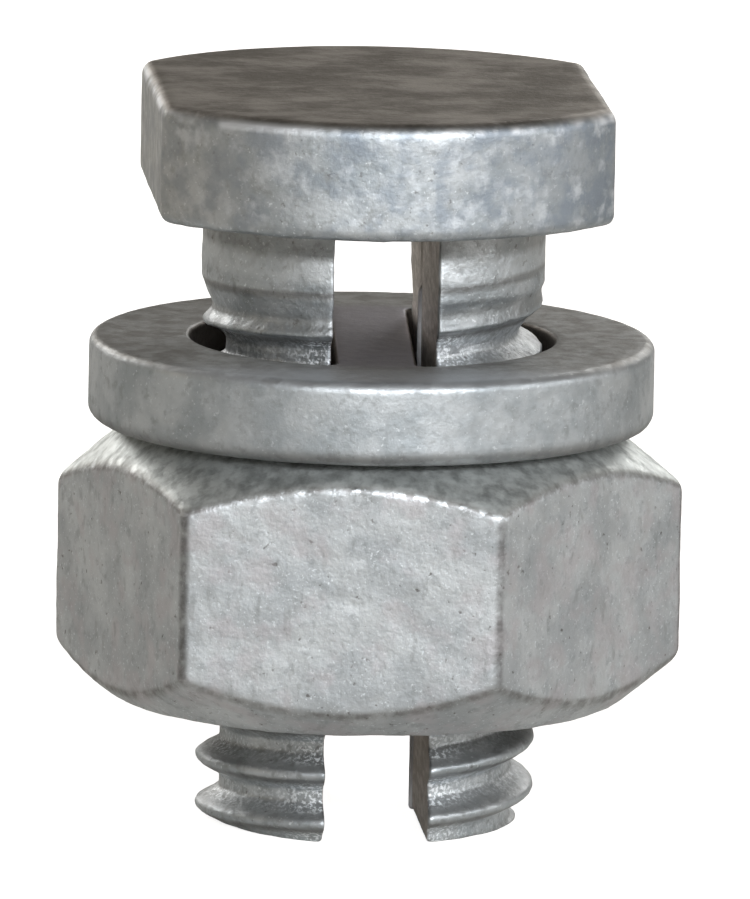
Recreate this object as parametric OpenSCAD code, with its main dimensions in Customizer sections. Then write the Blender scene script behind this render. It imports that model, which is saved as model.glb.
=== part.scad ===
// Split bolt connector with an M12 x 1.75 thread: a slotted bolt, a pressure plate whose
// bridge is keyed in the slot, and a hex nut that pushes the plate towards the bolt's head.
// A conductor is laid through the slot and clamped between the plate and the head.
// The bolt's axis is Z, the slot runs along Y, and the leg ends stand at z = 0.

/* [Bolt head] */
// Diameter of the head
head_d = 19.6; // [18:0.1:26]
// Width between the two wrench flats of the head
head_af = 16; // [15:0.1:17.5]
// Height of the head
head_h = 4.15; // [3:0.05:8]
// Rounding of the head's round rims
head_round = 0.45; // [0.2:0.05:0.8]
// Chamfer along the upper and lower edges of the wrench flats
flat_chamfer = 0.3; // [0.1:0.05:0.6]

/* [Bolt shank] */
// Length from the leg ends to the underside of the head
shank_l = 22.35; // [21:0.05:50]
// How much further out the plain neck lies than the thread's crests
neck_step = 0.05; // [0.03:0.01:0.2]
// Length of the plain neck
neck_l = 2.75; // [1:0.05:3.5]
// Fillet between the neck and the head
neck_fillet = 0.3; // [0.1:0.05:0.5]
// Size of the 45 degree chamfer at the leg ends
end_chamfer = 0.4; // [0.2:0.05:1]

/* [Slot] */
// Width of the slot between the two legs
slot_w = 3.7; // [3:0.1:5]
// Metal left between the slot and the underside of the head
slot_web = 0.2; // [0.1:0.05:1]
// How far behind the axis the front and rear cuts of the slot meet
cut_meeting_y = 1.3; // [0:0.1:3]
// Sideways offset of the rear cut at the top of the slot
rear_cut_offset = -0.08; // [-0.15:0.01:0]
// Lean of the rear cut away from the front one, in degrees
rear_cut_lean = 1.3; // [0:0.1:1.3]

/* [Thread] */
// Crest diameter of the bolt's thread
thread_d = 12.1; // [10:0.1:14]
// Pitch of the right-hand thread
thread_pitch = 1.75; // [1.5:0.05:2]
// Depth of the thread from crest to root
thread_depth = 0.85; // [0.6:0.05:1]
// Length over which the thread runs out below the neck
thread_runout = 1.75; // [1:0.05:3]
// Height of a thread crest above the leg ends, on the +X side
thread_start = 1.36; // [0:0.01:1.75]
// Radial clearance between the bolt's thread and the nut's
thread_clearance = 0.14; // [0.1:0.01:0.25]
// Flat facets around one turn of the thread
thread_facets = 36; // [24:4:48]

/* [Pressure plate] */
// Diameter of the plate
plate_d = 20.15; // [18:0.05:26]
// Thickness of the plate
plate_t = 3; // [2:0.1:4]
// Rounding of the plate's rims
plate_round = 0.4; // [0.2:0.05:0.9]
// Radial gap between the bolt's thread and the plate's two windows
window_clearance = 0.45; // [0.3:0.05:0.8]
// Gap on each side of the bridge, between it and the legs
bridge_clearance = 0.45; // [0.4:0.05:0.6]
// How far the loose plate has turned in the slot, in degrees
plate_yaw = -3.2; // [-3.2:0.1:3.2]

/* [Nut] */
// Width across the flats of the nut
nut_af = 19.5; // [18:0.1:21]
// How far the nut's six corners are rounded back, measured along the radius
nut_corner_cut = 0.12; // [0.05:0.01:0.4]
// Height of the nut
nut_h = 9.85; // [8:0.05:12]
// Diameter of the nut's round end faces, inside the corner chamfers
nut_face_d = 17; // [15:0.1:18]
// Angle between the corner chamfers and the end faces, in degrees
nut_chamfer_angle = 32; // [25:1:35]
// How far the countersinks reach beyond the roots of the nut's thread
countersink_reach = 0.5; // [0.3:0.05:0.8]
// Height of the nut's lower face above the leg ends
nut_z = 4.55; // [1:0.05:7]
// Turn of the nut about the axis, in degrees
nut_yaw = -10.2; // [-60:0.1:60]
// Gap between the nut and the plate that rests on it
seat_gap = 0.04; // [0.02:0.01:0.1]

/* [Hidden] */
$fn = 96;

zinc = [0.62, 0.64, 0.65];
worn_zinc = [0.56, 0.57, 0.58];

thread_r = thread_d / 2;
thread_top = shank_l - neck_l;
overlap = 0.4; // how far one part of a body reaches into the next
cut_overlap = 0.02; // how far the two cuts of the slot reach into each other
past = 1; // how far a cut runs past the metal
fillet_steps = 4;

plate_z = nut_z + nut_h + seat_gap;
window_d = thread_d + 2 * window_clearance;
bridge_w = slot_w - 2 * bridge_clearance;
nut_corner_r = nut_af / 2 / cos(30);

// One pitch of the thread's outline: [distance from the crest in pitches, depth as a share]
thread_form = [[-0.13, 0.04], [0, 0], [0.13, 0.04], [0.34, 0.88], [0.5, 1], [0.66, 0.88]];

// Points of an arc about c that starts at angle a0 and turns through sweep degrees
function arc(c, r, a0, sweep) = [
    for (i = [0 : fillet_steps])
        let (a = a0 + sweep * i / fillet_steps)
            [c[0] + r * cos(a), c[1] + r * sin(a)]
];

// Share of the full thread depth at height z
function depth_share(z, z_end) = min(1, max(0, (z_end - z) / thread_runout));

// Solid rod with a right-hand thread. Its ends are helical steps, so it is cut to length after.
// z0 and z1 are covered, z_end is where the thread has run out, and grow widens it all round.
module threaded_rod(z0, z1, z_end, grow) {
    form_n = len(thread_form);
    first = floor((z0 - thread_start) / thread_pitch) - 1;
    turns = ceil((z1 - thread_start) / thread_pitch) + 1 - first;
    rings = turns * thread_facets;
    points = [
        for (i = [0 : rings])
            let (angle = 360 * i / thread_facets)
                for (f = thread_form)
                    let (z = thread_start + thread_pitch * (first + i / thread_facets + f[0]),
                         r = thread_r + grow - thread_depth * f[1] * depth_share(z, z_end))
                        [r * cos(angle), r * sin(angle), z]
    ];
    bottom = len(points);
    top = bottom + 1;
    // the last point of one turn's outline is followed by the first of the turn above
    function at(i, j) = j < form_n ? i * form_n + j : (i + thread_facets) * form_n + j - form_n;
    last = rings - thread_facets;
    skin = [
        for (i = [0 : rings - 1])
            for (j = [0 : form_n - 1])
                if (j < form_n - 1 || i < last)
                    for (t = [[at(i, j), at(i, j + 1), at(i + 1, j)],
                              [at(i + 1, j), at(i, j + 1), at(i + 1, j + 1)]])
                        t
    ];
    bottom_cap = [
        for (i = [0 : thread_facets - 1])
            [bottom, at(i, 0), at(i + 1, 0)]
    ];
    bottom_step = [
        for (j = [0 : form_n - 1])
            [bottom, at(0, j + 1), at(0, j)]
    ];
    top_cap = [
        for (i = [last : rings - 1])
            [top, at(i + 1, form_n - 1), at(i, form_n - 1)]
    ];
    top_step = [
        for (j = [0 : form_n - 2])
            [top, at(rings, j), at(rings, j + 1)]
    ];
    seam = [top, at(last, form_n - 1), at(last, form_n)];
    polyhedron(
        points = concat(points, [
            [0, 0, points[0][2]],
            [0, 0, points[len(points) - 1][2]]
        ]),
        faces = concat(skin, bottom_cap, bottom_step, top_cap, top_step, [seam])
    );
}

module thread_of_bolt() {
    intersection() {
        threaded_rod(0, thread_top, thread_top, 0);
        rotate_extrude()
            polygon([
                [0, 0],
                [thread_r - end_chamfer, 0],
                [thread_r + past, end_chamfer + past],
                [thread_r + past, thread_top + overlap],
                [0, thread_top + overlap]
            ]);
    }
}

module head_and_neck() {
    head_r = head_d / 2;
    neck_r = thread_r + neck_step;
    top = shank_l + head_h;
    intersection() {
        rotate_extrude()
            polygon(concat(
                [[0, thread_top], [neck_r, thread_top]],
                arc([neck_r + neck_fillet, shank_l - neck_fillet], neck_fillet, 180, -90),
                arc([head_r - head_round, shank_l + head_round], head_round, -90, 90),
                arc([head_r - head_round, top - head_round], head_round, 0, 90),
                [[0, top]]
            ));
        wrench_flats(shank_l, top);
    }
}

// Block between the two flats, whose edges at the heights z0 and z1 are chamfered
module wrench_flats(z0, z1) {
    half = head_af / 2;
    notch = half - flat_chamfer;
    rotate([90, 0, 0])
        linear_extrude(2 * head_d, center = true)
            polygon([
                [-half, 0],
                [half, 0],
                [half, z0 - flat_chamfer],
                [notch, z0],
                [half, z0 + flat_chamfer],
                [half, z1 - flat_chamfer],
                [notch, z1],
                [-notch, z1],
                [-half, z1 - flat_chamfer],
                [-half, z0 + flat_chamfer],
                [-notch, z0],
                [-half, z0 - flat_chamfer]
            ]);
}

// The slot is milled from both sides, and the rear cut leans a little off the front one
module slot_cut() {
    slot_top = shank_l - slot_web;
    translate([-slot_w / 2, -head_d, -past])
        cube([slot_w, head_d + cut_meeting_y, slot_top + past]);
    translate([rear_cut_offset, cut_meeting_y - cut_overlap, slot_top])
        rotate([0, -rear_cut_lean, 0])
            translate([-slot_w / 2, 0, -2 * shank_l])
                cube([slot_w, head_d, 2 * shank_l]);
}

module split_bolt() {
    color(zinc)
        difference() {
            union() {
                head_and_neck();
                thread_of_bolt();
            }
            slot_cut();
        }
}

module pressure_plate() {
    r = plate_d / 2;
    color(worn_zinc)
        translate([0, 0, plate_z])
            rotate([0, 0, plate_yaw])
                difference() {
                    rotate_extrude()
                        polygon(concat(
                            [[0, 0]],
                            arc([r - plate_round, plate_round], plate_round, -90, 90),
                            arc([r - plate_round, plate_t - plate_round], plate_round, 0, 90),
                            [[0, plate_t]]
                        ));
                    difference() {
                        translate([0, 0, -past])
                            cylinder(d = window_d, h = plate_t + 2 * past);
                        translate([-bridge_w / 2, -plate_d, -2 * past])
                            cube([bridge_w, 2 * plate_d, plate_t + 4 * past]);
                    }
                }
}

// Revolved outline that rounds the hexagon's corners and chamfers both ends
module nut_envelope() {
    face_r = nut_face_d / 2;
    out_r = nut_corner_r - nut_corner_cut;
    drop = (out_r - face_r) * tan(nut_chamfer_angle);
    rotate_extrude()
        polygon([
            [0, 0],
            [face_r, 0],
            [out_r, drop],
            [out_r, nut_h - drop],
            [face_r, nut_h],
            [0, nut_h]
        ]);
}

// 45 degree countersink of the upper end of a nut that is centred on z = 0
module countersink() {
    root_r = thread_r + thread_clearance;
    crest_r = root_r - thread_depth;
    depth = root_r + countersink_reach - crest_r;
    translate([0, 0, nut_h / 2 - depth])
        cylinder(r1 = crest_r, r2 = crest_r + depth + past, h = depth + past);
}

module hex_nut() {
    color(zinc)
        difference() {
            translate([0, 0, nut_z])
                rotate([0, 0, nut_yaw])
                    intersection() {
                        cylinder(r = nut_corner_r, h = nut_h, $fn = 6);
                        nut_envelope();
                    }
            threaded_rod(nut_z - past, nut_z + nut_h + past, shank_l + nut_h, thread_clearance);
            for (end = [0, 1])
                translate([0, 0, nut_z + nut_h / 2])
                    mirror([0, 0, end])
                        countersink();
        }
}

split_bolt();
pressure_plate();
hex_nut();
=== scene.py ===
import math
import bpy
import numpy as np
from mathutils import Matrix, Vector, geometry, noise


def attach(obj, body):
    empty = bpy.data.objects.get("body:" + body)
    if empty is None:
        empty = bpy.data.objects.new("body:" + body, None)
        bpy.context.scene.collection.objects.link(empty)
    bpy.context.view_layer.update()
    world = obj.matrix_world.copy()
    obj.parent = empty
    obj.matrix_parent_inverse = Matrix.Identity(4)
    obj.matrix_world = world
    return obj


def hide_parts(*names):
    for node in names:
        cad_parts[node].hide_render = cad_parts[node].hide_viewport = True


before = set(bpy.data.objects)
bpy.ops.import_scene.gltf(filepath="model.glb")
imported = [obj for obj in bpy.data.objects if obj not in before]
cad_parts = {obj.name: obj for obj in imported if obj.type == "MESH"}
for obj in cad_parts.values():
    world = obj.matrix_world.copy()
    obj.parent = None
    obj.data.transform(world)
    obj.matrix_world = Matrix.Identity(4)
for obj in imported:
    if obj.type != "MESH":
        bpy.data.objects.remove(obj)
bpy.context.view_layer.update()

MM = 0.001
TAU = 2 * math.pi

# ------------------------------------------------------------ sizes, in mm, as in the CAD
SHANK_L = 22.35
SLOT_TOP = 22.15
HEAD_H = 4.15
HEAD_R = 9.8
HEAD_HALF = 8.0
THREAD_R = 6.05
THREAD_DEPTH = 0.85
PITCH = 1.75
THREAD_START = 1.36
THREAD_TOP = 19.6
RUNOUT = 1.75
NECK_R = 6.10
CLEARANCE = 0.14
SLOT_HALF = 1.85
STEP_Y = 1.3
LEAN = math.tan(math.radians(1.3))
REAR_OFFSET = -0.08
END_CHAMFER = 0.4
PLATE_Z = 14.44
PLATE_T = 3.0
PLATE_R = 10.075
PLATE_YAW = math.radians(-3.2)
WINDOW_R = 6.5
BRIDGE_HALF = 1.4
WINDOW_CORNER = 0.4
NUT_Z = 4.55
NUT_H = 9.85
NUT_AP = 9.75
NUT_FACE_R = 8.5
COUNTERSINK = 0.5
NUT_YAW = math.radians(-10.2)


# ------------------------------------------------------------ helpers
def smooth(lo, hi, x):
    t = np.clip((x - lo) / (hi - lo), 0, 1)
    return t * t * (3 - 2 * t)


def soft_min(a, b, k):
    h = np.clip(0.5 + 0.5 * (b - a) / k, 0, 1)
    return b + (a - b) * h - k * h * (1 - h)


def radius_of(points):
    """Distance of each point from the bolt's axis."""
    return np.hypot(points[:, 0], points[:, 1])


def toward(azimuth, elevation):
    """Unit vector to a viewpoint: azimuth from the front, to the right, both in degrees."""
    a, e = math.radians(azimuth), math.radians(elevation)
    return Vector((math.sin(a) * math.cos(e), -math.cos(a) * math.cos(e), math.sin(e)))


def fractal(points, scale, octaves, seed):
    """Fractal noise of each point: scale is the size of its largest lumps in mm."""
    shift = Vector((seed * 7.31, seed * -3.17, seed * 5.03))
    return np.array([
        noise.fractal(Vector(p) / scale + shift, 1.0, 2.0, octaves) for p in points
    ])


def grid_faces(rows, cols, start, wrap, flip=False):
    out = []
    for i in range(rows - 1):
        for j in range(cols if wrap else cols - 1):
            a = start + i * cols + j
            b = start + i * cols + (j + 1) % cols
            c, d = b + cols, a + cols
            out.append((a, d, c, b) if flip else (a, b, c, d))
    return out


def build(name, points, faces, lumps, attributes=None):
    """A smooth mesh. lumps(points, normals) gives how far each point moves along its normal."""
    mesh = bpy.data.meshes.new(name)
    mesh.from_pydata([tuple(p * MM) for p in points], [], faces)
    mesh.validate()
    mesh.update()
    n = len(mesh.vertices)
    normals = np.zeros(n * 3)
    mesh.vertices.foreach_get("normal", normals)
    normals = normals.reshape(-1, 3)
    moved = points + normals * lumps(points, normals)[:, None]
    mesh.vertices.foreach_set("co", (moved * MM).ravel())
    for key, values in (attributes or {}).items():
        layer = mesh.attributes.new(key, "FLOAT", "POINT")
        layer.data.foreach_set("value", values(points, normals).astype(np.float32))
    mesh.polygons.foreach_set("use_smooth", [True] * len(mesh.polygons))
    mesh.update()
    piece = bpy.data.objects.new(name, mesh)
    bpy.context.scene.collection.objects.link(piece)
    return piece


# ------------------------------------------------------------ thread
CREST_HALF = 0.035
ROOT_AT = 0.40


def share(u, lift=0.0):
    """Share of the thread's depth, u pitches away from a crest. lift narrows its lower side."""
    a = np.abs(u) + lift * (u < 0) * np.clip(-u / 0.04, 0, 1)
    t = np.clip((a - CREST_HALF) / (ROOT_AT - CREST_HALF), 0, 1)
    s = t * t * (3 - 2 * t)
    return 0.8 * s + 0.2 * t


def thread_radius(theta, z, grow=0.0, runs_out=True):
    u = (z - THREAD_START) / PITCH - theta / TAU
    u = u - np.round(u)
    if not runs_out:
        return THREAD_R + grow - THREAD_DEPTH * share(u)
    fade = np.clip((THREAD_TOP - z) / RUNOUT, 0, 1) ** 1.5
    lift = 0.12 * smooth(17.0, 18.0, z)
    return THREAD_R + grow - THREAD_DEPTH * share(u, lift) * fade


def shank_radius(theta, z):
    r = thread_radius(theta, z)
    neck = smooth(THREAD_TOP - 0.25, THREAD_TOP + 0.05, z)
    r = r + (NECK_R - THREAD_R) * neck
    return soft_min(r, THREAD_R - END_CHAMFER + z, 0.12)


def rear_lean(z):
    return REAR_OFFSET + (SLOT_TOP - z) * LEAN


# ------------------------------------------------------------ split bolt
ARC_N = 100
REAR_N = 14
FRONT_N = 20
CORNER_N = 4
SLOT_N = 18


def leg_row(side, z, inset, corner):
    """One closed outline of a leg, from the front corner round the outside and back inside."""
    wall_front = SLOT_HALF + inset
    wall_rear = SLOT_HALF + side * rear_lean(z) + inset

    def radius(phi):
        theta = phi if side > 0 else math.pi - phi
        return float(shank_radius(theta, z)) - inset

    def reach(wall, sign):
        phi = sign * math.acos(wall / 5.8)
        for _ in range(8):
            phi = sign * math.acos(min(0.98, wall / radius(phi)))
        return phi

    front, rear = reach(wall_front, -1), reach(wall_rear, 1)
    step = corner / 6.0
    phis = np.linspace(front + step, rear - step, ARC_N)
    theta = phis if side > 0 else math.pi - phis
    r = shank_radius(theta, z) - inset
    arc = np.stack([r * np.cos(phis), r * np.sin(phis)], 1)
    y_rear = radius(rear) * math.sin(rear)
    y_front = radius(front) * math.sin(front)
    ys_rear = np.linspace(y_rear - corner, STEP_Y + 0.04, REAR_N)
    ys_front = np.concatenate([
        STEP_Y - np.array([0.04, 0.10, 0.13]),
        np.linspace(STEP_Y - 0.3, y_front + corner, FRONT_N - 3),
    ])
    wall = np.concatenate([
        np.stack([np.full(REAR_N, wall_rear), ys_rear], 1),
        np.stack([np.full(FRONT_N, wall_front), ys_front], 1),
    ])

    def bend(p, tip, q):
        t = (np.arange(CORNER_N) + 1.0)[:, None] / (CORNER_N + 1)
        return (1 - t) ** 2 * p + 2 * t * (1 - t) * np.array(tip) + t ** 2 * q

    rear_bend = bend(arc[-1], (wall_rear, y_rear), wall[0])
    front_bend = bend(wall[-1], (wall_front, y_front), arc[0])
    loop = np.concatenate([arc, rear_bend, wall, front_bend])
    loop[:, 0] *= side
    return np.column_stack([loop, np.full(len(loop), z)])


def leg_heights():
    low = np.array([0.0, 0.03, 0.07, 0.12, 0.18, 0.25, 0.33])
    return np.concatenate([
        low,
        np.arange(0.41, 4.8, 0.085),
        np.arange(4.85, 13.9, 0.135),
        np.arange(13.95, 19.9, 0.083),
        np.arange(19.95, 22.0, 0.14),
        [22.08, SLOT_TOP],
    ])


def make_bolt():
    points, faces = [], []
    count = 0
    heights = leg_heights()
    round_end = 0.18
    loop_n = ARC_N + REAR_N + FRONT_N + 2 * CORNER_N
    top_rows = {}
    for side in (1, -1):
        start = count
        for z in heights:
            t = 1 - min(1.0, z / round_end)
            inset = round_end * (1 - math.sqrt(max(0.0, 1 - t * t)))
            corner = 0.16 if z < 21.9 else 0.03
            row = leg_row(side, z, inset, corner)
            if side > 0:
                # a burr left by the milling cutter along the step of the slot
                burr = 0.13 * (1 - float(smooth(18.8, 19.2, z)))
                edge = np.arange(len(row))
                at = ARC_N + CORNER_N + REAR_N
                row[edge == at, 0] -= burr * 0.5
                row[edge == at + 1, 0] -= burr
            points.append(row)
        count += len(heights) * loop_n
        faces += grid_faces(len(heights), loop_n, start, True, flip=side < 0)
        top_rows[side] = start + (len(heights) - 1) * loop_n
        # the end face, as rings that close on the middle of the leg's end
        base = points[len(points) - len(heights)]
        middle = base.mean(0)
        ring = start
        for scale in (0.95, 0.84, 0.68, 0.5, 0.32, 0.15):
            rim = middle + (base - middle) * scale
            rim[:, 2] = 0.0
            points.append(rim)
            for j in range(loop_n):
                k = (j + 1) % loop_n
                quad = (ring + j, count + j, count + k, ring + k)
                faces.append(quad if side > 0 else quad[::-1])
            ring = count
            count += loop_n
        points.append(np.array([[middle[0], middle[1], 0.0]]))
        for j in range(loop_n):
            k = (j + 1) % loop_n
            tri = (ring + j, count, ring + k)
            faces.append(tri if side > 0 else tri[::-1])
        count += 1
    flat = np.concatenate(points)

    # columns of the neck above the slot: right leg, rear of the slot, left leg, front
    def leg_ids(side):
        ids = [top_rows[side] + j for j in range(ARC_N)]
        return ids if side > 0 else ids[::-1]

    def bridge_arc(a, b, dip):
        pa, pb = flat[a], flat[b]
        ta, tb = math.atan2(pa[1], pa[0]), math.atan2(pb[1], pb[0])
        if tb < ta:
            tb += TAU
        ts = np.linspace(ta, tb, SLOT_N + 2)[1:-1]
        ra = math.hypot(pa[0], pa[1])
        return np.column_stack([
            ra * np.cos(ts), ra * np.sin(ts), np.full(SLOT_N, SLOT_TOP - dip)
        ])

    right, left = leg_ids(1), leg_ids(-1)
    rear = bridge_arc(right[-1], left[0], 0.0)
    front = bridge_arc(left[-1], right[0], 0.0)
    rear_ids = list(range(count, count + SLOT_N))
    front_ids = list(range(count + SLOT_N, count + 2 * SLOT_N))
    count += 2 * SLOT_N
    points += [rear, front]
    neck_ids = right + rear_ids + left + front_ids
    columns = len(neck_ids)

    # the slot's ceiling links the two inner walls, point by point
    chain = list(range(ARC_N - 1, loop_n)) + [0]
    chains = {s: [top_rows[s] + k for k in chain] for s in (1, -1)}
    lines = []
    for k in range(len(chain)):
        a, b = chains[1][k], chains[-1][k]
        if k == 0:
            lines.append([a] + rear_ids + [b])
            continue
        if k == len(chain) - 1:
            lines.append([a] + front_ids[::-1] + [b])
            continue
        t = np.linspace(0, 1, SLOT_N + 2)[1:-1][:, None]
        points.append(flat[a] * (1 - t) + flat[b] * t)
        lines.append([a] + list(range(count, count + SLOT_N)) + [b])
        count += SLOT_N
    for p, q in zip(lines, lines[1:]):
        for j in range(SLOT_N + 1):
            faces.append((p[j], q[j], q[j + 1], p[j + 1]))

    # head columns, closer together at the four corners where a flat meets the round rim
    flat = np.concatenate(points)
    neck = flat[neck_ids]
    neck_theta = np.unwrap(np.arctan2(neck[:, 1], neck[:, 0]))
    corner_angle = math.acos(HEAD_HALF / HEAD_R)
    dense = np.linspace(0, TAU, 7201)
    weight = np.ones_like(dense)
    for c in (corner_angle, math.pi - corner_angle, math.pi + corner_angle, TAU - corner_angle):
        weight += 5.0 * np.exp(-((dense - c) / 0.035) ** 2)
    total = np.concatenate([[0], np.cumsum((weight[1:] + weight[:-1]) / 2)])
    total = total / total[-1] * columns
    slots = np.arange(columns) - (ARC_N - 1) / 2
    head_theta = np.interp(np.mod(slots, columns), total, dense)
    head_theta = np.unwrap(head_theta)
    head_theta += TAU * np.round((neck_theta[0] - head_theta[0]) / TAU)

    fillet = 0.45
    cx = HEAD_HALF - fillet
    cy = math.sqrt((HEAD_R - fillet) ** 2 - cx ** 2)

    def outline(theta):
        c, s = np.abs(np.cos(theta)), np.abs(np.sin(theta))
        r = np.minimum(HEAD_R, HEAD_HALF / np.maximum(c, 1e-6))
        dot = c * cx + s * cy
        inside = dot ** 2 - (cx ** 2 + cy ** 2) + fillet ** 2
        arc = dot + np.sqrt(np.maximum(inside, 0))
        lo_a = math.atan2(cy, cx + fillet)
        unit = fillet / math.hypot(cx, cy)
        hi_a = math.atan2(cy + cy * unit, cx + cx * unit)
        a = np.arctan2(s, c)
        return np.where((a > lo_a) & (a < hi_a), arc, r)

    rim = outline(head_theta)
    rows = []

    def ring_at(r, theta, z):
        return np.column_stack([r * np.cos(theta), r * np.sin(theta), np.broadcast_to(z, r.shape)])

    nr = radius_of(neck)
    neck_fillet = 0.2
    for a in np.linspace(0, math.pi / 2, 5)[1:]:
        rows.append(ring_at(nr + neck_fillet * (1 - math.cos(a)), neck_theta,
                            SLOT_TOP + neck_fillet * math.sin(a)))
    low_round, top_round = 0.42, 0.5
    for t in (0.25, 0.5, 0.75, 1.0):
        r0, r1 = nr + neck_fillet, rim - low_round
        rows.append(ring_at(r0 + (r1 - r0) * t,
                            neck_theta + (head_theta - neck_theta) * t, SHANK_L))
    for a in np.linspace(0, math.pi / 2, 6)[1:]:
        rows.append(ring_at(rim - low_round * (1 - math.sin(a)), head_theta,
                            SHANK_L + low_round * (1 - math.cos(a))))
    top = SHANK_L + HEAD_H
    for z in np.linspace(SHANK_L + low_round, top - top_round, 20)[1:]:
        rows.append(ring_at(rim, head_theta, z))
    for a in np.linspace(0, math.pi / 2, 7)[1:]:
        rows.append(ring_at(rim - top_round * (1 - math.cos(a)), head_theta,
                            top - top_round * (1 - math.sin(a))))
    shrink = np.concatenate([np.linspace(1, 0.12, 30)[1:], [0.05]])
    for s in shrink:
        rows.append(ring_at((rim - top_round) * s, head_theta, top))
    start = count
    points += rows
    first = list(range(start, start + columns))
    for j in range(columns):
        k = (j + 1) % columns
        faces.append((neck_ids[j], neck_ids[k], first[k], first[j]))
    faces += grid_faces(len(rows), columns, start, True)
    count += len(rows) * columns
    last = count - columns
    points.append(np.array([[0.0, 0.0, top]]))
    for j in range(columns):
        faces.append((last + j, last + (j + 1) % columns, count))
    points = np.concatenate(points)

    def lumps(p, n):
        z = p[:, 2]
        r = radius_of(p)
        on_head = smooth(SHANK_L - 0.05, SHANK_L + 0.3, z)
        on_top = smooth(top - 0.15, top, z)
        inner = smooth(0.75, 0.95, np.abs(n[:, 0])) * (1 - on_head) * (r < 5.9)
        big = fractal(p, 3.2, 3, 1)
        small = fractal(p, 0.75, 3, 2)
        tall = fractal(p * np.array([1, 1, 1.6]), 1.5, 3, 3)
        shank = (0.020 * small + 0.022 * tall) * (1 - on_head) * (1 - 0.5 * inner)
        head = (0.026 * big + 0.005 * small) * on_head * (1 - 0.55 * on_top)
        return shank + head

    def top_mask(p, n):
        return smooth(top - 0.32, top - 0.01, p[:, 2])

    def head_mask(p, n):
        return smooth(SHANK_L + 0.05, SHANK_L + 0.4, p[:, 2])

    def inner_mask(p, n):
        r = radius_of(p)
        wall = smooth(0.7, 0.97, np.abs(n[:, 0])) * (np.abs(p[:, 0]) < 2.45)
        near = smooth(5.95, 5.4, r) * wall
        over_slot = (np.abs(p[:, 0]) < 2.0) * (r < 6.2)
        ceiling = over_slot * (p[:, 2] > SLOT_TOP - 0.02) * (n[:, 2] < -0.5)
        return np.clip(near + ceiling, 0, 1) * (p[:, 2] < SHANK_L - 0.05)

    def burr_highlight_mask(p, n):
        ridge = smooth(0.11, 0.05, np.abs(p[:, 1] - STEP_Y + 0.12)) * smooth(19.2, 18.8, p[:, 2])
        return ridge * (p[:, 0] > 1.6) * (p[:, 0] < 1.87)

    def neck_highlight_mask(p, n):
        r = radius_of(p)
        z = p[:, 2]
        near_slot = smooth(4.2, 1.9, np.abs(p[:, 0]))
        neck_highlight = smooth(20.15, 20.3, z) * smooth(21.2, 20.95, z)
        return neck_highlight * (r > 5.7) * (0.35 + 0.65 * near_slot)

    def thread_glint_mask(p, n):
        r = radius_of(p)
        near = smooth(3.6, 1.95, np.abs(p[:, 0])) + smooth(-4.6, -5.5, p[:, 0]) * (p[:, 1] < 0)
        on_thread = (r > 4.9) * (p[:, 2] < THREAD_TOP - 0.2)
        return np.clip(near, 0, 1) * on_thread * (np.abs(n[:, 0]) < 0.97)

    def left_shade_mask(p, n):
        return smooth(-1.5, -7.5, p[:, 0])

    def top_edge_glint_mask(p, n):
        tilt = smooth(0.12, 0.35, n[:, 2]) * smooth(0.92, 0.7, n[:, 2])
        return tilt * (p[:, 2] > top - 0.6)

    def head_right_shade_mask(p, n):
        return smooth(1.5, 7.0, p[:, 0])

    def head_shadow_mask(p, n):
        r = radius_of(p)
        return smooth(20.75, 21.25, p[:, 2]) * (p[:, 2] < SHANK_L + 0.02) * (r > 5.5) * (r < 7.5)

    def from_crest(p):
        theta = np.arctan2(p[:, 1], p[:, 0])
        u = (p[:, 2] - THREAD_START) / PITCH - theta / TAU
        return u - np.round(u)

    def lower_flank_shade_mask(p, n):
        u = from_crest(p)
        return smooth(-0.30, -0.17, u) * smooth(-0.04, -0.12, u) * smooth(20.5, 20.2, p[:, 2])

    def upper_flank_shade_mask(p, n):
        u = from_crest(p)
        return smooth(0.02, 0.11, u) * smooth(0.47, 0.34, u) * (p[:, 2] < THREAD_TOP - 0.1)

    def depth_mask(p, n):
        r = radius_of(p)
        return np.clip((THREAD_R - r) / THREAD_DEPTH, 0, 1) * (p[:, 2] < THREAD_TOP + 0.2)

    return build("split_bolt_zinc", points, faces, lumps, {
        "top": top_mask, "head": head_mask, "inner": inner_mask,
        "lower_flank_shade": lower_flank_shade_mask, "upper_flank_shade": upper_flank_shade_mask, "depth": depth_mask,
        "burr": burr_highlight_mask, "neck": head_shadow_mask, "neck_highlight": neck_highlight_mask, "edge": thread_glint_mask,
        "right": head_right_shade_mask, "left": left_shade_mask, "rim": top_edge_glint_mask,
    })


# ------------------------------------------------------------ pressure plate
def window_outline(grow, side, n=150):
    """Outline of one D-shaped window, grown by grow into the metal."""
    big, line, c = WINDOW_R + grow, BRIDGE_HALF - grow, WINDOW_CORNER + grow
    cx = line + c
    cy = math.sqrt((big - c) ** 2 - cx ** 2)
    meet = math.atan2(cy, cx)
    pieces = [
        [(big * math.cos(a), big * math.sin(a)) for a in np.linspace(-meet, meet, 96)],
        [(cx + c * math.cos(a), cy + c * math.sin(a))
         for a in np.linspace(meet, math.pi, 9)[1:-1]],
        [(line, y) for y in np.linspace(cy, -cy, 48)],
        [(cx + c * math.cos(a), -cy + c * math.sin(a))
         for a in np.linspace(math.pi, TAU - meet, 9)[1:-1]],
    ]
    loop = np.array([q for piece in pieces for q in piece])
    loop[:, 0] *= side
    return loop if side > 0 else loop[::-1]


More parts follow.
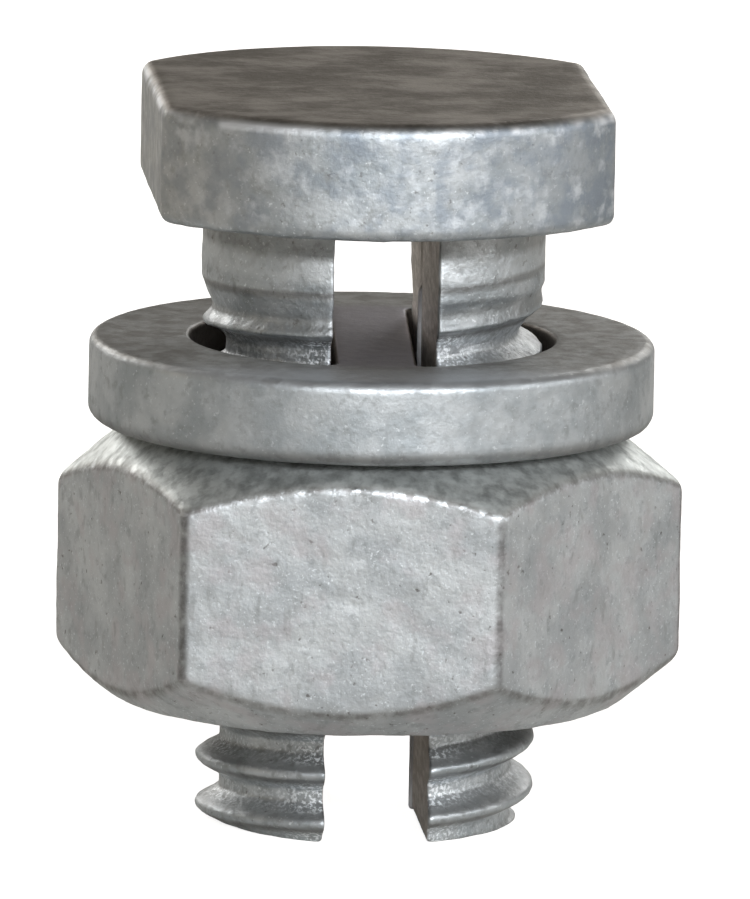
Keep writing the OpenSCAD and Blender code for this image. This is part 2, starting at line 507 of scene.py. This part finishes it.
def make_plate():
    points, faces = [], []
    outer_n = 300
    ang = np.arange(outer_n) * TAU / outer_n
    top_round, low_round, rim = 0.38, 0.5, 0.16
    circle = np.column_stack([np.cos(ang), np.sin(ang)])

    def put(loop, z):
        start = sum(len(q) for q in points)
        points.append(np.column_stack([loop, np.full(len(loop), z)]))
        return start

    def stack(loops_z, flip):
        """Rows of one closed outline, from low to high."""
        starts = [put(loop, z) for loop, z in loops_z]
        n = len(loops_z[0][0])
        for a, b in zip(starts, starts[1:]):
            for j in range(n):
                k = (j + 1) % n
                quad = (a + j, a + k, b + k, b + j)
                faces.append(quad[::-1] if flip else quad)
        return starts[0], starts[-1]

    rows = []
    for a in np.linspace(0, math.pi / 2, 8):
        rows.append((circle * (PLATE_R - low_round * (1 - math.sin(a))),
                     low_round * (1 - math.cos(a))))
    for z in np.linspace(low_round, PLATE_T - top_round, 16)[1:]:
        rows.append((circle * PLATE_R, z))
    for a in np.linspace(0, math.pi / 2, 8)[1:]:
        rows.append((circle * (PLATE_R - top_round * (1 - math.cos(a))),
                     PLATE_T - top_round * (1 - math.sin(a))))
    edges = {"low": [], "top": []}
    low, high = stack(rows, False)
    edges["low"].append((low, outer_n))
    edges["top"].append((high, outer_n))
    for side in (1, -1):
        rows = []
        for a in np.linspace(0, math.pi / 2, 5):
            rows.append((window_outline(rim * (1 - math.sin(a)), side), rim * (1 - math.cos(a))))
        for z in np.linspace(rim, PLATE_T - rim, 16)[1:]:
            rows.append((window_outline(0.0, side), z))
        for a in np.linspace(0, math.pi / 2, 5)[1:]:
            rows.append((window_outline(rim * (1 - math.cos(a)), side),
                         PLATE_T - rim * (1 - math.sin(a))))
        low, high = stack(rows, True)
        edges["low"].append((low, len(rows[0][0])))
        edges["top"].append((high, len(rows[0][0])))

    # points inside the flat faces keep clear of the rim and the windows
    rim_gap, window_gap = 0.55, 0.32

    def in_metal(x, y):
        r = math.hypot(x, y)
        in_window = r < WINDOW_R + window_gap and abs(x) > BRIDGE_HALF - window_gap
        return r <= PLATE_R - rim_gap and not in_window

    rng = np.random.default_rng(11)
    pitch, reach, jitter = 0.3, 9.6, 0.03
    inner = []
    for i, y in enumerate(np.arange(-reach, reach + 0.01, pitch * 0.87)):
        for x in np.arange(-reach, reach + 0.01, pitch):
            q = (x + (i % 2) * pitch / 2, y)
            if in_metal(*q):
                dx = rng.uniform(-jitter, jitter)
                dy = rng.uniform(-jitter, jitter)
                inner.append((q[0] + dx, q[1] + dy))
    for level, z in (("low", 0.0), ("top", PLATE_T)):
        flat = np.concatenate(points)
        ids, links = [], []
        for start, n in edges[level]:
            base = len(ids)
            ids += list(range(start, start + n))
            links += [(base + j, base + (j + 1) % n) for j in range(n)]
        own = len(ids)
        first = len(flat)
        points.append(np.column_stack([np.array(inner), np.full(len(inner), z)]))
        coords = [Vector(flat[i][:2]) for i in ids] + [Vector(q) for q in inner]
        made = geometry.delaunay_2d_cdt(coords, links, [], 0, 1e-6, True)
        back = [origin[0] for origin in made[3]]
        place = [ids[o] if o < own else first + o - own for o in back]
        for tri in made[2]:
            mid = sum((made[0][v] for v in tri), Vector((0, 0))) / 3
            x, y = mid
            if math.hypot(x, y) > PLATE_R:
                continue
            c = WINDOW_CORNER + rim
            line, big = BRIDGE_HALF - rim, WINDOW_R + rim
            if abs(x) > line and math.hypot(x, y) < big:
                cx = line + c
                cy = math.sqrt((big - c) ** 2 - cx ** 2)
                corner = abs(y) > cy and abs(x) < cx * abs(y) / cy
                if not corner or math.hypot(abs(x) - cx, abs(y) - cy) < c:
                    continue
            face = tuple(place[v] for v in tri)
            up = (made[0][tri[1]] - made[0][tri[0]]).cross(made[0][tri[2]] - made[0][tri[0]]) > 0
            faces.append(face if up == (level == "top") else face[::-1])
    points = np.concatenate(points)

    def lumps(p, n):
        side = 1 - smooth(0.3, 0.8, np.abs(n[:, 2]))
        wave = fractal(p, 3.5, 3, 21)
        fine = fractal(p, 0.8, 3, 22)
        edge = np.exp(-((radius_of(p) - PLATE_R + 0.2) / 0.35) ** 2)
        return (0.022 * wave + 0.008 * fine) * (0.35 + 0.65 * side) - 0.02 * np.abs(fine) * edge

    def top_mask(p, n):
        return smooth(PLATE_T - 0.35, PLATE_T - 0.01, p[:, 2])

    def seam_shade_mask(p, n):
        return smooth(0.7, 0.05, p[:, 2])

    def front_light_mask(p, n):
        return smooth(-5.6, -9.2, p[:, 1])

    def window_wall_shade_mask(p, n):
        r = radius_of(p)
        inside = (r < WINDOW_R + 0.1) * (np.abs(n[:, 2]) < 0.8)
        return inside.astype(float)

    def bridge_mask(p, n):
        r = radius_of(p)
        across = smooth(BRIDGE_HALF + 0.3, BRIDGE_HALF, np.abs(p[:, 0]))
        return smooth(WINDOW_R + 0.8, WINDOW_R - 0.6, r) * across

    piece = build("pressure_plate_zinc", points, faces, lumps, {
        "top": top_mask, "low": seam_shade_mask, "window_wall_shade": window_wall_shade_mask, "bridge": bridge_mask,
        "front": front_light_mask,
    })
    turn = Matrix.Translation((0, 0, PLATE_Z * MM)) @ Matrix.Rotation(PLATE_YAW, 4, "Z")
    piece.data.transform(turn)
    return piece


# ------------------------------------------------------------ hex nut
NUT_COLS = 384
BORE_ROWS = 84


def make_nut():
    corner = 0.55
    sector = TAU / 6
    dense = np.linspace(0, sector, 2001)
    weight = 1 + 4.5 * np.exp(-((dense - sector / 2) / 0.045) ** 2)
    total = np.concatenate([[0], np.cumsum((weight[1:] + weight[:-1]) / 2)])
    per = NUT_COLS // 6
    local = np.interp((np.arange(per) + 0.5) / per, total / total[-1], dense)
    # each sector runs from the middle of one flat to the next, with a corner halfway
    theta = np.concatenate([local + k * sector for k in range(6)]) - TAU / 4 + NUT_YAW
    fold = np.mod(np.concatenate([local] * 6) + sector / 2, sector) - sector / 2

    # distance to the hexagon's side with its corners rounded; fold is measured from a flat
    def hexagon(f):
        r = NUT_AP / np.cos(f)
        cx = NUT_AP - corner
        cy = cx * math.tan(math.pi / 6)
        a = np.abs(f)
        dot = np.cos(a) * cx + np.sin(a) * cy
        inside = dot ** 2 - (cx ** 2 + cy ** 2) + corner ** 2
        arc = dot + np.sqrt(np.maximum(inside, 0))
        return np.where(a > math.atan2(cy, NUT_AP), arc, r)

    rim = hexagon(fold)
    cos_t, sin_t = np.cos(theta), np.sin(theta)
    x_rim, y_rim = rim * cos_t, rim * sin_t
    # the forged chamfers aren't quite square to the axis
    y_soft = 2 - np.log1p(np.exp(np.clip(2 - y_rim, -20, 20)))
    wob = 0.03 * np.sin(5 * theta + 0.4)
    top_drop = 1.32 + 0.60 * (rim - NUT_AP) + 0.062 * y_soft - 0.012 * x_rim + wob
    low_drop = 0.56 + 0.72 * (rim - NUT_AP) - 0.038 * y_soft + 0.008 * x_rim + wob
    top_drop = np.maximum(top_drop, 0.25)
    low_drop = np.maximum(low_drop, 0.25)
    z0, z1 = NUT_Z, NUT_Z + NUT_H
    rows = []

    low_face = NUT_FACE_R + 0.6 * cos_t ** 2

    def add(r, z):
        rows.append(np.column_stack([r * cos_t, r * sin_t, np.broadcast_to(z, r.shape)]))

    bore_top = THREAD_R + CLEARANCE + COUNTERSINK
    # widths of the first rings beside the bore and inside the bearing faces' edges
    bore_lip, face_lip = 0.12, 0.3
    one = np.ones(NUT_COLS)

    def bend(p0, z_0, p1, z_1, p2, z_2, steps):
        for t in np.linspace(0, 1, steps):
            a, b, c = (1 - t) ** 2, 2 * t * (1 - t), t * t
            add(a * p0 + b * p1 + c * p2, a * z_0 + b * z_1 + c * z_2)

    # upper face, from the bore outwards
    for r in np.linspace(bore_top + bore_lip, NUT_FACE_R - face_lip, 7):
        add(one * r, z1)
    soft = 0.32
    f = soft / (rim - NUT_FACE_R)
    bend(one * (NUT_FACE_R - face_lip), z1, one * NUT_FACE_R, z1,
         NUT_FACE_R + (rim - NUT_FACE_R) * f, z1 - top_drop * f, 4)
    for t in np.linspace(0, 1, 9)[1:-1]:
        g = f + (1 - f - soft / (rim - NUT_FACE_R)) * t
        add(NUT_FACE_R + (rim - NUT_FACE_R) * g, z1 - top_drop * g)
    g = 1 - soft / (rim - NUT_FACE_R)
    bend(NUT_FACE_R + (rim - NUT_FACE_R) * g, z1 - top_drop * g, rim, z1 - top_drop,
         rim, z1 - top_drop - soft, 7)
    for t in np.linspace(0, 1, 34)[1:-1]:
        add(rim, (z1 - top_drop - soft) * (1 - t) + (z0 + low_drop + soft) * t)
    low_span = rim - low_face
    f = np.minimum(0.45, soft / low_span)
    g = 1 - f
    bend(rim, z0 + low_drop + soft, rim, z0 + low_drop,
         low_face + low_span * g, z0 + low_drop * g, 7)
    for t in np.linspace(1, 0, 9)[1:-1]:
        h = f + (g - f) * t
        add(low_face + low_span * h, z0 + low_drop * h)
    bend(low_face + low_span * f, z0 + low_drop * f, low_face, z0, low_face - face_lip, z0, 4)
    for t in np.linspace(0, 1, 7)[1:]:
        add((low_face - face_lip) * (1 - t) + (bore_top + bore_lip) * t, z0)
    # bore, from the lower end upwards
    for z in np.linspace(z0 + 0.07, z1 - 0.07, BORE_ROWS):
        r = thread_radius(theta, z, CLEARANCE, runs_out=False)
        r = np.maximum(r, bore_top - (z1 - z))
        r = np.maximum(r, bore_top - (z - z0))
        add(r, z)
    points = np.concatenate(rows)
    faces = grid_faces(len(rows), NUT_COLS, 0, True, flip=True)
    last = (len(rows) - 1) * NUT_COLS
    for j in range(NUT_COLS):
        k = (j + 1) % NUT_COLS
        faces.append((last + j, j, k, last + k))

    def from_flat(p):
        """Angle of each point from the middle of its flat."""
        t = np.arctan2(p[:, 1], p[:, 0]) - NUT_YAW + TAU / 4
        return np.mod(t + sector / 2, sector) - sector / 2

    def lumps(p, n):
        r = radius_of(p)
        outside = smooth(7.5, 8.3, r)
        in_bore = 1 - smooth(6.5, 7.0, r)
        big = fractal(p, 2.6, 3, 31)
        small = fractal(p, 0.7, 3, 32)
        flake = flake_and_glint_mask(p, n) * np.maximum(0, fractal(p, 0.45, 2, 33))
        return outside * (0.030 * big + 0.018 * small) + in_bore * 0.008 * small + 0.09 * flake

    def corner_shade_mask(p, n):
        t = from_flat(p)
        r = radius_of(p)
        gap = (math.pi / 6 - np.abs(t)) * r
        return smooth(0.30, 0.05, gap) * smooth(9.9, 10.4, r) * smooth(0.30, 0.12, np.abs(n[:, 2]))

    def arris_shade_mask(p, n):
        r = radius_of(p)
        tilt = np.abs(n[:, 2])
        return smooth(0.10, 0.30, tilt) * smooth(0.80, 0.5, tilt) * (r > 9.3)

    def flake_and_glint_mask(p, n):
        t = np.arctan2(p[:, 1], p[:, 0])
        front = np.exp(-((t + 1.63) / 0.42) ** 2)
        tilt = np.abs(n[:, 2])
        return smooth(0.02, 0.10, tilt) * smooth(0.62, 0.35, tilt) * (n[:, 2] > 0) * (0.25 + front)

    def bore_mask(p, n):
        return (1 - smooth(6.75, 7.1, radius_of(p)))

    def upper_mask(p, n):
        return smooth(0.35, 0.6, n[:, 2]) * (radius_of(p) > 7)

    return build("hex_nut_zinc", points, faces, lumps, {
        "corner": corner_shade_mask, "arris_shade": arris_shade_mask, "bore": bore_mask,
        "upper": upper_mask, "flake": flake_and_glint_mask,
    })


bolt = make_bolt()
plate = make_plate()
nut = make_nut()


# ------------------------------------------------------------ materials
def srgb(r, g, b):
    def one(c):
        c = c / 255
        return c / 12.92 if c <= 0.04045 else ((c + 0.055) / 1.055) ** 2.4
    return (one(r), one(g), one(b), 1)


class Nodes:
    """Short names for the nodes that the zinc finishes are made of."""

    def __init__(self, name):
        self.mat = bpy.data.materials.new(name)
        self.mat.use_nodes = True
        self.tree = self.mat.node_tree
        self.tree.nodes.clear()
        self.out = self.tree.nodes.new("ShaderNodeOutputMaterial")
        self.shader = self.tree.nodes.new("ShaderNodeBsdfPrincipled")
        self.tree.links.new(self.shader.outputs[0], self.out.inputs[0])
        self.coords = self.tree.nodes.new("ShaderNodeTexCoord").outputs["Object"]

    def link(self, value, socket):
        if isinstance(value, bpy.types.NodeSocket):
            self.tree.links.new(value, socket)
        else:
            socket.default_value = value

    def attribute(self, name):
        node = self.tree.nodes.new("ShaderNodeAttribute")
        node.attribute_name = name
        return node.outputs["Fac"]

    def stretch(self, scale, turn=(0, 0, 0)):
        node = self.tree.nodes.new("ShaderNodeMapping")
        self.tree.links.new(self.coords, node.inputs["Vector"])
        node.inputs["Scale"].default_value = [s * 1000 for s in scale]
        node.inputs["Rotation"].default_value = turn
        return node.outputs[0]

    def noise(self, size, detail, rough, where=None):
        node = self.tree.nodes.new("ShaderNodeTexNoise")
        self.tree.links.new(where or self.stretch((1, 1, 1)), node.inputs["Vector"])
        node.inputs["Scale"].default_value = 1 / size
        node.inputs["Detail"].default_value = detail
        node.inputs["Roughness"].default_value = rough
        return node.outputs["Fac"]

    def math(self, op, a, b, clamp=False):
        node = self.tree.nodes.new("ShaderNodeMath")
        node.operation = op
        node.use_clamp = clamp
        self.link(a, node.inputs[0])
        self.link(b, node.inputs[1])
        return node.outputs[0]

    def times(self, a, b):
        return self.math("MULTIPLY", a, b)

    def span(self, value, lo, hi, to_lo=0.0, to_hi=1.0):
        """A smooth step: lo gives to_lo and hi gives to_hi."""
        node = self.tree.nodes.new("ShaderNodeMapRange")
        node.interpolation_type = "SMOOTHSTEP"
        self.link(value, node.inputs["Value"])
        node.inputs["From Min"].default_value = lo
        node.inputs["From Max"].default_value = hi
        node.inputs["To Min"].default_value = to_lo
        node.inputs["To Max"].default_value = to_hi
        return node.outputs[0]

    def mix(self, factor, a, b):
        """A colour between a and b."""
        node = self.tree.nodes.new("ShaderNodeMix")
        node.data_type = "RGBA"
        self.link(factor, node.inputs[0])
        self.link(a, node.inputs[6])
        self.link(b, node.inputs[7])
        return node.outputs[2]

    def blend(self, factor, a, b):
        """A number between a and b."""
        node = self.tree.nodes.new("ShaderNodeMix")
        node.data_type = "FLOAT"
        self.link(factor, node.inputs[0])
        self.link(a, node.inputs[2])
        self.link(b, node.inputs[3])
        return node.outputs[0]

    def bump(self, height, distance, strength, normal=None):
        node = self.tree.nodes.new("ShaderNodeBump")
        self.link(height, node.inputs["Height"])
        node.inputs["Distance"].default_value = distance
        self.link(strength, node.inputs["Strength"])
        if normal is not None:
            self.tree.links.new(normal, node.inputs["Normal"])
        return node.outputs[0]

    def finish(self, color, roughness, normal, metallic):
        self.link(color, self.shader.inputs["Base Color"])
        self.link(roughness, self.shader.inputs["Roughness"])
        self.link(metallic, self.shader.inputs["Metallic"])
        self.link(normal, self.shader.inputs["Normal"])
        return self.mat


PALE = srgb(206, 210, 213)
MID = srgb(178, 184, 188)
DIM = srgb(150, 152, 152)
DARK = srgb(96, 91, 86)
SHADE_DARK = srgb(70, 62, 55)
WHITE = srgb(236, 240, 243)


def zinc_of_bolt():
    k = Nodes("bolt_zinc")
    top, head, inner = k.attribute("top"), k.attribute("head"), k.attribute("inner")
    depth = k.attribute("depth")
    cloud = k.noise(2.0, 4, 0.6)
    mottle = k.noise(0.55, 4, 0.6)
    speck = k.noise(0.14, 2, 0.6)
    pit = k.noise(0.32, 3, 0.6)
    color = k.mix(k.span(cloud, 0.36, 0.64), MID, PALE)
    color = k.mix(k.times(k.span(mottle, 0.50, 0.68), 0.55), color, DIM)
    color = k.mix(k.times(k.span(speck, 0.60, 0.72), 0.75), color, WHITE)
    color = k.mix(k.times(k.span(pit, 0.36, 0.27), 0.55), color, DARK)
    # painted shade: the thread's lower flanks are darkened, and its upper flanks slightly so; the
    # lower-flank shade also draws dark lines on the plain neck just above the thread
    color = k.mix(k.times(k.attribute("lower_flank_shade"), 0.6), color, DARK)
    color = k.mix(k.times(k.attribute("upper_flank_shade"), 0.32), color, srgb(130, 126, 121))
    # painted shade: the head's side is darker towards its right
    painted_right_shade = k.times(k.attribute("right"), head)
    color = k.mix(k.times(painted_right_shade, 0.5), color, srgb(146, 152, 158))
    # blue-grey and white clouds on the head's side, and a warm painted shade towards its left
    blue = k.times(k.times(head, 0.75), k.span(k.noise(1.2, 4, 0.62), 0.40, 0.64))
    color = k.mix(blue, color, srgb(152, 161, 172))
    milky = k.times(k.times(head, 0.8), k.span(k.noise(0.9, 4, 0.6), 0.48, 0.72))
    color = k.mix(milky, color, srgb(226, 230, 234))
    left = k.times(k.attribute("left"), head)
    color = k.mix(k.times(left, 0.3), color, srgb(178, 169, 155))
    # painted highlight: white glints along the rounded top edge of the head
    glint = k.times(k.attribute("rim"), k.span(k.noise(1.9, 2, 0.5), 0.47, 0.60))
    color = k.mix(glint, color, srgb(250, 252, 255))
    # brushed top of the head, painted darker and warmer as shade
    brush = k.noise(0.22, 4, 0.65, where=k.stretch((0.7, 1.1, 1), (0, 0, 0.5)))
    smear = k.noise(3.0, 5, 0.65, where=k.stretch((0.8, 1.0, 1), (0, 0, 0.2)))
    shaded_top_color = k.mix(k.span(smear, 0.38, 0.66), srgb(112, 106, 98), srgb(166, 160, 153))
    shaded_top_color = k.mix(k.times(k.span(brush, 0.52, 0.72), 0.3), shaded_top_color, srgb(176, 172, 167))
    color = k.mix(top, color, shaded_top_color)
    wall = k.noise(0.5, 4, 0.6, where=k.stretch((1, 0.5, 1.6)))
    wall_color = k.mix(k.span(wall, 0.4, 0.66), srgb(184, 177, 170), srgb(216, 209, 203))
    # painted shadow of the head: the neck just below it is darker and warmer
    color = k.mix(k.times(k.attribute("neck"), 0.30), color, srgb(112, 103, 92))
    # painted glints: white flecks in the thread's roots, strongest near the slot
    fleck = k.span(k.noise(0.13, 2, 0.6), 0.48, 0.62)
    rooted = k.span(depth, 0.25, 0.7)
    near = k.times(k.attribute("edge"), 0.8)
    lit = k.math("ADD", near, 0.25, clamp=True)
    painted_glints = k.times(k.times(rooted, lit), fleck)
    color = k.mix(painted_glints, color, srgb(248, 251, 254))
    # painted highlight: a bright band round the neck below the head's painted shadow
    neck_highlight = k.times(k.attribute("neck_highlight"), k.span(mottle, 0.30, 0.55, 0.35, 0.95))
    color = k.mix(neck_highlight, color, srgb(240, 244, 247))
    color = k.mix(inner, color, wall_color)
    # painted highlight: the burr along the slot's step is painted white
    color = k.mix(k.attribute("burr"), color, srgb(250, 250, 252))
    rough = k.blend(k.span(mottle, 0.3, 0.7), 0.42, 0.56)
    rough = k.blend(k.times(head, 0.7), rough, 0.56)
    rough = k.blend(top, rough, 0.5)
    rough = k.blend(k.attribute("burr"), rough, 0.6)
    lumps = k.noise(0.42, 3, 0.55)
    normal = k.bump(lumps, 0.00009, k.span(head, 0, 1, 0.6, 0.22))
    normal = k.bump(k.noise(0.15, 3, 0.6), 0.00003, k.span(head, 0, 1, 0.6, 0.4), normal)
    normal = k.bump(brush, 0.000012, k.times(top, 0.5), normal)
    # the painted glints and the burr's painted highlight are less metallic
    dull = k.math("ADD", k.times(painted_glints, 0.7), k.attribute("burr"), clamp=True)
    return k.finish(color, rough, normal, k.blend(dull, 0.92, 0.25))


def zinc_of_plate():
    k = Nodes("plate_zinc")
    top, low, window_wall_shade, bridge = (k.attribute(a) for a in ("top", "low", "window_wall_shade", "bridge"))
    cloud = k.noise(1.8, 4, 0.6)
    mottle = k.noise(0.5, 4, 0.6)
    speck = k.noise(0.13, 2, 0.6)
    color = k.mix(k.span(cloud, 0.34, 0.66), MID, PALE)
    color = k.mix(k.times(k.span(mottle, 0.50, 0.70), 0.5), color, DIM)
    color = k.mix(k.times(k.span(speck, 0.62, 0.72), 0.55), color, WHITE)
    grain = k.noise(0.8, 5, 0.65)
    # painted shade: the plate's top is darker than its sides
    shaded_top_color = k.mix(k.span(grain, 0.36, 0.66), srgb(146, 144, 141), srgb(178, 179, 178))
    shaded_top_color = k.mix(bridge, shaded_top_color, srgb(160, 157, 163))
    # painted light: the top is brighter towards the front
    front = k.attribute("front")
    shaded_top_color = k.mix(front, shaded_top_color, srgb(205, 208, 212))
    color = k.mix(top, color, shaded_top_color)
    # painted shade on the windows' walls
    color = k.mix(window_wall_shade, color, srgb(86, 80, 74))
    # painted shade along the lower edge, where the plate sits on the nut
    color = k.mix(k.times(low, 0.6), color, SHADE_DARK)
    rough = k.blend(k.span(mottle, 0.3, 0.7), 0.44, 0.58)
    normal = k.bump(k.noise(0.55, 3, 0.5), 0.00005, 0.5)
    normal = k.bump(k.noise(0.14, 3, 0.6), 0.00002, 0.5, normal)
    return k.finish(color, rough, normal, 0.92)


def zinc_of_nut():
    k = Nodes("nut_zinc")
    corner, arris_shade = k.attribute("corner"), k.attribute("arris_shade")
    bore, upper = k.attribute("bore"), k.attribute("upper")
    cloud = k.noise(2.4, 4, 0.6)
    mottle = k.noise(0.5, 4, 0.62)
    speck = k.noise(0.12, 2, 0.6)
    pit = k.noise(0.3, 2, 0.6)
    color = k.mix(k.span(cloud, 0.34, 0.66), srgb(190, 194, 197), srgb(214, 217, 219))
    color = k.mix(k.times(k.span(mottle, 0.52, 0.70), 0.5), color, srgb(160, 164, 166))
    color = k.mix(k.times(k.span(speck, 0.60, 0.70), 0.8), color, WHITE)
    color = k.mix(k.times(k.span(pit, 0.33, 0.25), 0.7), color, DARK)
    blush = k.noise(1.3, 3, 0.5)
    color = k.mix(k.times(k.span(blush, 0.45, 0.65), 0.5), color, srgb(205, 199, 202))
    streak = k.noise(0.5, 3, 0.6, where=k.stretch((1, 1, 0.35)))
    shade = k.span(streak, 0.35, 0.62)
    # painted light: the upward faces and chamfers are lighter
    color = k.mix(upper, color, k.mix(shade, srgb(194, 198, 197), srgb(230, 234, 233)))
    color = k.mix(k.times(k.span(streak, 0.40, 0.30), 0.35), color, DIM)
    # painted shade: dark lines down the rounded vertical corners
    line = k.times(corner, k.span(mottle, 0.30, 0.60, 0.25, 0.62))
    color = k.mix(line, color, SHADE_DARK)
    # painted shade: dark lines along the chamfers' edges
    line = k.times(arris_shade, k.span(mottle, 0.30, 0.60, 0.15, 0.55))
    color = k.mix(line, color, srgb(110, 104, 97))
    # bright flakes on the upper chamfers, painted brighter towards the front as a highlight
    flake = k.times(k.attribute("flake"), k.span(k.noise(0.34, 2, 0.7), 0.50, 0.60))
    color = k.mix(flake, color, srgb(238, 242, 246))
    color = k.mix(bore, color, srgb(96, 92, 88))
    rough = k.blend(k.span(mottle, 0.3, 0.7), 0.46, 0.6)
    normal = k.bump(k.noise(0.5, 3, 0.5), 0.00005, 0.55)
    normal = k.bump(k.noise(0.15, 3, 0.6), 0.00002, 0.6, normal)
    return k.finish(color, rough, normal, 0.9)


for piece, node, body, slot_name, material in (
    (bolt, "split_bolt", "bolt", "bolt_zinc", zinc_of_bolt()),
    (plate, "pressure_plate", "plate", "plate_zinc", zinc_of_plate()),
    (nut, "hex_nut", "nut", "nut_zinc", zinc_of_nut()),
):
    piece.data.materials.append(material)
    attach(piece, body)
    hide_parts(node)


# ------------------------------------------------------------ floor, world and lamps
def make_floor():
    half = 400.0
    n = 24
    xs = np.linspace(-half, half, n)
    points = [(x * MM, y * MM, 0.0) for y in xs for x in xs]
    mesh = bpy.data.meshes.new("floor")
    mesh.from_pydata(points, [], grid_faces(n, n, 0, False))
    mesh.update()
    floor = bpy.data.objects.new("floor", mesh)
    bpy.context.scene.collection.objects.link(floor)
    mat = bpy.data.materials.new("floor_white")
    mat.use_nodes = True
    tree = mat.node_tree
    tree.nodes.clear()
    out = tree.nodes.new("ShaderNodeOutputMaterial")
    path = tree.nodes.new("ShaderNodeLightPath")
    card = tree.nodes.new("ShaderNodeBsdfDiffuse")
    card.inputs["Color"].default_value = (0.70, 0.68, 0.64, 1)
    glow = tree.nodes.new("ShaderNodeEmission")
    glow.inputs["Color"].default_value = (1, 1, 1, 1)
    glow.inputs["Strength"].default_value = 0.88
    both = tree.nodes.new("ShaderNodeAddShader")
    tree.links.new(card.outputs[0], both.inputs[0])
    tree.links.new(glow.outputs[0], both.inputs[1])
    pick = tree.nodes.new("ShaderNodeMixShader")
    tree.links.new(path.outputs["Is Camera Ray"], pick.inputs[0])
    tree.links.new(card.outputs[0], pick.inputs[1])
    tree.links.new(both.outputs[0], pick.inputs[2])
    tree.links.new(pick.outputs[0], out.inputs[0])
    mesh.materials.append(mat)


def make_world():
    world = bpy.data.worlds.new("studio")
    bpy.context.scene.world = world
    world.use_nodes = True
    tree = world.node_tree
    tree.nodes.clear()
    out = tree.nodes.new("ShaderNodeOutputWorld")
    path = tree.nodes.new("ShaderNodeLightPath")
    room = tree.nodes.new("ShaderNodeBackground")
    room.inputs["Strength"].default_value = 1.0
    coords = tree.nodes.new("ShaderNodeTexCoord")
    split = tree.nodes.new("ShaderNodeSeparateXYZ")
    tree.links.new(coords.outputs["Generated"], split.inputs[0])
    ramp = tree.nodes.new("ShaderNodeValToRGB")
    tree.links.new(split.outputs["Z"], ramp.inputs[0])
    stops = ramp.color_ramp
    stops.elements[0].position = 0.0
    stops.elements[0].color = (0.190, 0.177, 0.155, 1)
    stops.elements[1].position = 0.75
    stops.elements[1].color = (0.092, 0.083, 0.071, 1)
    tree.links.new(ramp.outputs[0], room.inputs["Color"])
    white = tree.nodes.new("ShaderNodeBackground")
    white.inputs["Color"].default_value = (1, 1, 1, 1)
    white.inputs["Strength"].default_value = 1.0
    pick = tree.nodes.new("ShaderNodeMixShader")
    tree.links.new(path.outputs["Is Camera Ray"], pick.inputs[0])
    tree.links.new(room.outputs[0], pick.inputs[1])
    tree.links.new(white.outputs[0], pick.inputs[2])
    tree.links.new(pick.outputs[0], out.inputs[0])


AIM = Vector((0, 0, 13.2 * MM))
# name, azimuth and elevation in degrees, distance, width, height in mm, power in W, colour
LAMPS = (
    ("key", 8, 22, 420, 390, 60, 1.50, (0.94, 0.97, 1.0)),
    ("fill_right", 70, 16, 380, 160, 160, 0.27, (0.98, 0.99, 1.0)),
    ("fill_left", -95, 14, 380, 140, 160, 0.04, (1.0, 0.9, 0.72)),
    ("rear_right", 150, 24, 400, 240, 120, 0.30, (1.0, 0.99, 0.97)),
    ("rear_left", -145, 24, 400, 240, 120, 0.40, (1.0, 0.98, 0.95)),
)


def make_lamps():
    for name, azimuth, elevation, distance, width, height, power, color in LAMPS:
        data = bpy.data.lights.new(name, "AREA")
        data.shape = "RECTANGLE"
        data.size = width * MM
        data.size_y = height * MM
        data.energy = power
        data.color = color
        lamp = bpy.data.objects.new(name, data)
        back = toward(azimuth, elevation)
        lamp.location = AIM + back * distance * MM
        lamp.rotation_mode = "QUATERNION"
        lamp.rotation_quaternion = (-back).to_track_quat("-Z", "Y")
        bpy.context.scene.collection.objects.link(lamp)


make_floor()
make_world()
make_lamps()
bpy.context.scene.view_settings.view_transform = "Standard"

# ------------------------------------------------------------ camera
AZIMUTH, ELEVATION, ROLL = -4.865, 10.01, 1.078
DISTANCE = 475.0
FOCAL = 533.36
TARGET = Vector((0, 0, 13.134 * MM))
AIM_RIGHT, AIM_UP = 0.180, 0.195


def make_camera():
    back = toward(AZIMUTH, ELEVATION)
    roll = Matrix.Rotation(math.radians(ROLL), 3, "Z")
    turn = (-back).to_track_quat("-Z", "Y").to_matrix() @ roll
    cam = bpy.data.objects.new("camera", bpy.data.cameras.new("camera"))
    bpy.context.scene.collection.objects.link(cam)
    cam.data.sensor_width = 36
    cam.data.lens = FOCAL
    cam.data.clip_start = 0.01
    cam.data.clip_end = 10
    cam.rotation_mode = "QUATERNION"
    cam.rotation_quaternion = turn.to_quaternion()
    right, up = turn @ Vector((1, 0, 0)), turn @ Vector((0, 1, 0))
    cam.location = TARGET + back * DISTANCE * MM + (right * AIM_RIGHT + up * AIM_UP) * MM
    bpy.context.scene.camera = cam


make_camera()
